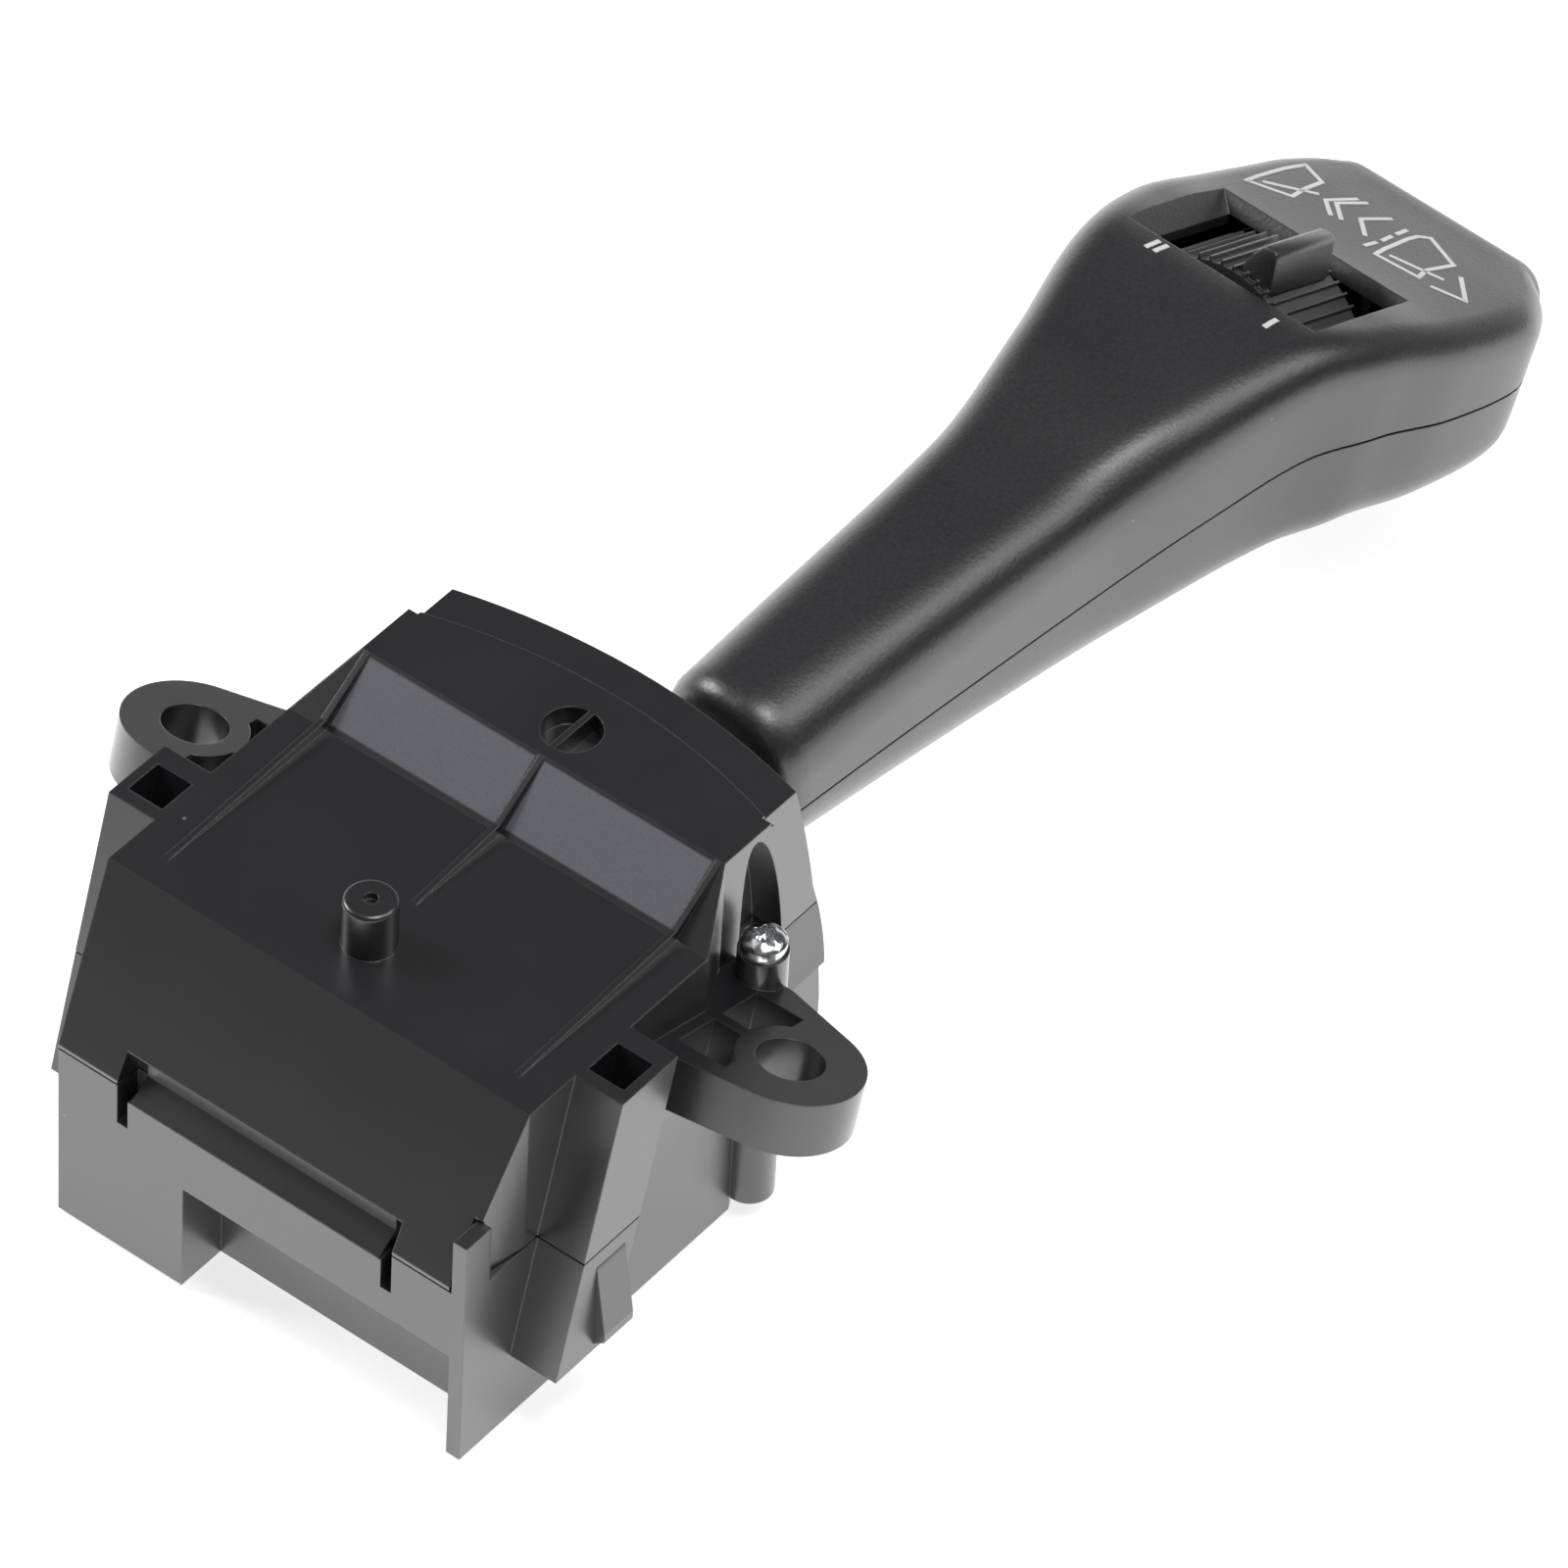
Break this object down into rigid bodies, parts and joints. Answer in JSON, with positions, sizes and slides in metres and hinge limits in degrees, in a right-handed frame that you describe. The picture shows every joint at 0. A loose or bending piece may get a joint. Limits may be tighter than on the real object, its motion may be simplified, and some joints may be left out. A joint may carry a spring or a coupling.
{
  "type": "combination stalk switch",
  "caption": "Black stalk switch for a steering column: clipped housing with two mounting ears, a detented swing and pull lever and a ribbed thumbwheel set in the lever's head.",
  "frame": {"origin": "foot of the locating peg, in the plane of the housing's flat top plate", "axes": "+X towards the ear beside the guide fin, +Y outwards along the lever, +Z out of the top plate along the locating peg"},
  "size_m": [0.0846, 0.1778, 0.0452],
  "materials": {
    "housing_plastic": "fine satin grain, near black",
    "tub_plastic": "satin, near black",
    "frame_plastic": "satin, black",
    "lever_plastic": "fine matte grain, near black",
    "wheel_plastic": "matte, near black",
    "core_plastic": "matte, glass filled",
    "natural_plastic": "natural, low sheen",
    "board": "lacquered laminate",
    "copper": "bright",
    "contact_metal": "bright",
    "tinned_metal": "tinned",
    "steel": "ground",
    "zinc": "zinc plated",
    "lead_rubber": "matte"
  },
  "bodies": {
    "housing": {"upper_housing": "housing_plastic", "lower_housing": "tub_plastic", "side_latches": "tub_plastic", "mechanism_frame": "frame_plastic", "circuit_board": "board", "contact_tracks": "copper", "connector_pins": "tinned_metal", "front_bar": "frame_plastic", "housing_screws": "zinc", "detent_block": "natural_plastic", "pivot_pins": "steel"},
    "carrier": {"swing_carrier": "core_plastic", "tilt_pin": "steel", "mouth_shutter": "frame_plastic"},
    "lever": {"lever_core": "core_plastic", "detent_spring": "steel", "lever_upper_shell": "lever_plastic", "lever_lower_shell": "lever_plastic", "shell_screws": "zinc", "wheel_axle": "steel", "wheel_bracket": "core_plastic", "head_board": "board", "wheel_detent_spring": "steel", "wheel_leads": "lead_rubber"},
    "plunger": {"detent_plunger": "natural_plastic"},
    "wheel": {"thumbwheel": "wheel_plastic"},
    "slider": {"contact_slider": "natural_plastic", "sliding_contacts": "contact_metal"}
  },
  "joints": [
    {"name": "lever_swing", "type": "hinge", "parent": "housing", "child": "carrier", "pos_m": [0, 0.012, -0.0172], "axis": [0, 0, 1], "range_deg": [-6, 18]},
    {"name": "lever_pull", "type": "hinge", "parent": "carrier", "child": "lever", "pos_m": [0, 0.012, -0.0172], "axis": [0.9985, -0.0551, 0], "range_deg": [0, 7], "stiffness_Nm_per_rad": 1.6, "springref_deg": -3.44},
    {"name": "plunger_travel", "type": "slide", "parent": "lever", "child": "plunger", "axis": [0.0551, 0.9982, 0.0215], "range_m": [0, 0.0012], "stiffness_N_per_m": 900, "springref_m": -0.002},
    {"name": "wheel_turn", "type": "hinge", "parent": "lever", "child": "wheel", "pos_m": [0.00539, 0.1277, -0.01438], "axis": [0.0512, 0.9279, -0.3693], "range_deg": [-42, 9]},
    {"name": "contact_travel", "type": "slide", "parent": "housing", "child": "slider", "axis": [0.9985, -0.0551, 0], "range_m": [-0.00127, 0.00378]}
  ],
  "couplings": [
    {"joint": "contact_travel", "follows": "lever_swing", "m_per_rad": 0.012}
  ]
}
